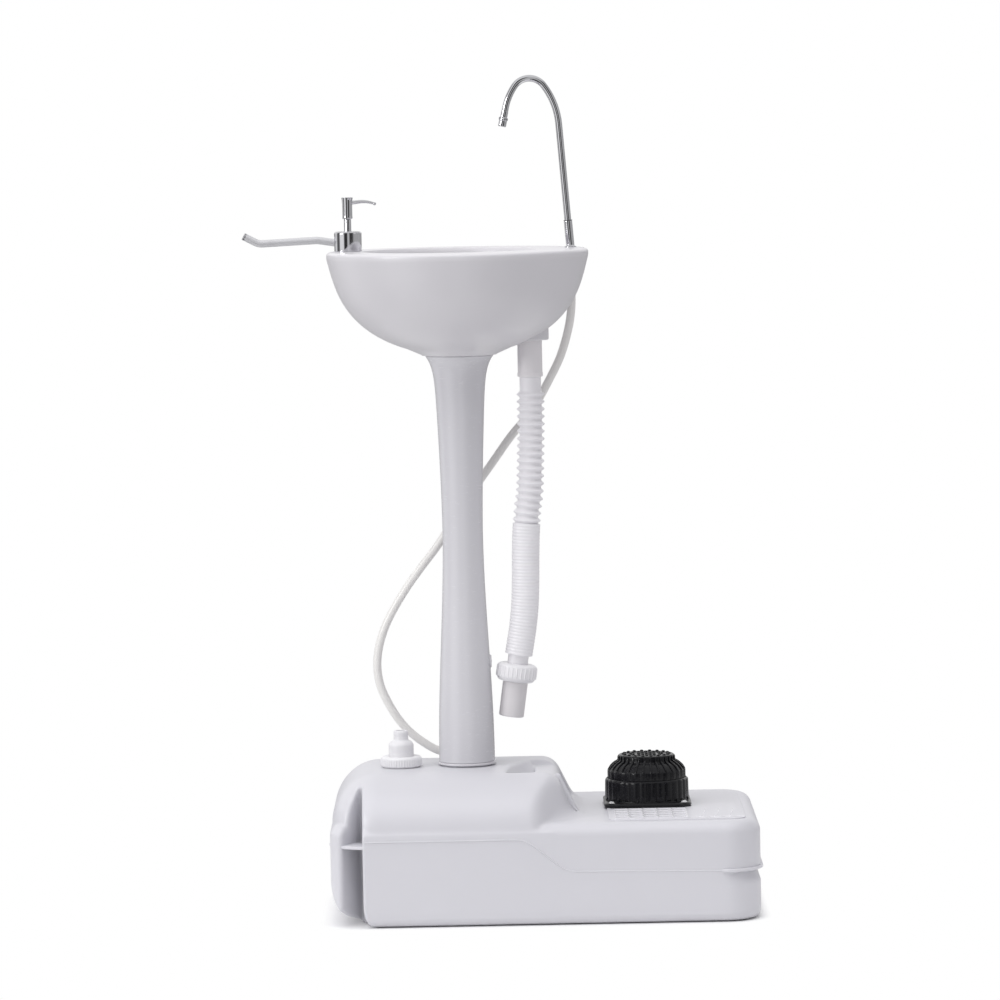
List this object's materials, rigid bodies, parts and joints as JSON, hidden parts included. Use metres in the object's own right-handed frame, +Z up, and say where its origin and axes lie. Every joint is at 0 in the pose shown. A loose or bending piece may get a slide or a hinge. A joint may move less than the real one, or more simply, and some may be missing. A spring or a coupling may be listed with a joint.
{
  "type": "portable camp wash stand",
  "caption": "Portable hand wash stand: blow-moulded water tank base with foot pump, round column, round basin, gooseneck spout, soap pump, towel arm and ribbed drain hose.",
  "frame": {"origin": "centre of the tank's underside, on the floor", "axes": "+X to the right along the tank, from the column's end to the foot pump's end; +Y to the back, away from the user; +Z up"},
  "size_m": [0.6094, 0.316, 1.0004],
  "materials": {
    "tank_plastic": "satin, fine moulded grain",
    "column_plastic": "satin",
    "basin_plastic": "smooth satin",
    "fitting_plastic": "satin",
    "ribbed_hose_plastic": "satin",
    "supply_hose_plastic": "smooth, slightly milky",
    "chrome_plate": "polished",
    "silver_tube": "satin",
    "steel": "bright",
    "seal_rubber": "matte",
    "black_plastic": "gloss"
  },
  "bodies": {
    "stand": {"tank": "tank_plastic", "column_ring": "column_plastic", "column": "column_plastic", "column_button": "column_plastic", "basin_shell": "basin_plastic", "basin_bowl": "basin_plastic", "drain_strainer": "steel", "drain_sump": "fitting_plastic", "drain_collar": "fitting_plastic", "drain_tailpiece": "fitting_plastic", "drain_hose": "ribbed_hose_plastic", "drain_union_nut": "fitting_plastic", "drain_outlet": "fitting_plastic", "supply_hose": "supply_hose_plastic", "tank_barb": "fitting_plastic", "tank_barb_washer": "seal_rubber", "outlet_pipe": "fitting_plastic", "spout_sleeve": "chrome_plate", "spout_nut": "steel", "spout_seal": "seal_rubber", "soap_collar": "chrome_plate", "soap_bottle": "fitting_plastic", "soap_chamber": "fitting_plastic", "soap_dip_tube": "supply_hose_plastic", "soap_spring": "steel", "towel_bush": "fitting_plastic", "pump_body": "black_plastic", "pump_spring": "steel", "pump_inlet_valve": "seal_rubber", "pump_gasket": "seal_rubber", "pump_screws": "steel", "intake_tube": "supply_hose_plastic", "intake_strainer": "steel"},
    "spout": {"spout": "chrome_plate", "aerator": "chrome_plate"},
    "towel_arm": {"towel_arm": "silver_tube", "towel_nut": "steel"},
    "soap_stem": {"soap_stem": "chrome_plate"},
    "soap_head": {"soap_head": "chrome_plate"},
    "cap_adaptor": {"cap_adaptor": "fitting_plastic", "cap_gasket": "seal_rubber"},
    "cap_ring": {"cap_ring": "fitting_plastic"},
    "pump_plunger": {"pump_plunger": "black_plastic", "pump_seal": "seal_rubber"}
  },
  "joints": [
    {"name": "pump_press", "type": "slide", "parent": "stand", "child": "pump_plunger", "axis": [0, 0, -1], "range_m": [0, 0.016], "stiffness_N_per_m": 1800, "springref_m": -0.012, "deforming": ["pump_spring"]},
    {"name": "spout_swivel", "type": "hinge", "parent": "stand", "child": "spout", "pos_m": [0.045, 0.035, 0.793], "axis": [-0.0767, 0, 0.9971], "continuous": true},
    {"name": "soap_press", "type": "slide", "parent": "stand", "child": "soap_stem", "axis": [0, 0, -1], "range_m": [0, 0.01], "stiffness_N_per_m": 300, "springref_m": -0.006, "deforming": ["soap_spring"]},
    {"name": "soap_head_turn", "type": "hinge", "parent": "soap_stem", "child": "soap_head", "pos_m": [-0.222, 0.025, 0.832], "axis": [0, 0, 1], "continuous": true},
    {"name": "towel_arm_swing", "type": "hinge", "parent": "stand", "child": "towel_arm", "pos_m": [-0.217, 0.065, 0.793], "axis": [0, 0, 1], "range_deg": [-180, 45]},
    {"name": "cap_lift", "type": "slide", "parent": "stand", "child": "cap_adaptor", "axis": [0, 0, 1], "range_m": [0, 0.008]},
    {"name": "cap_turn", "type": "hinge", "parent": "cap_adaptor", "child": "cap_ring", "pos_m": [-0.17, -0.01, 0.174], "axis": [0, 0, 1], "range_deg": [0, 720]}
  ],
  "couplings": [
    {"joint": "cap_lift", "follows": "cap_turn", "m_per_rad": 0.00063662}
  ]
}
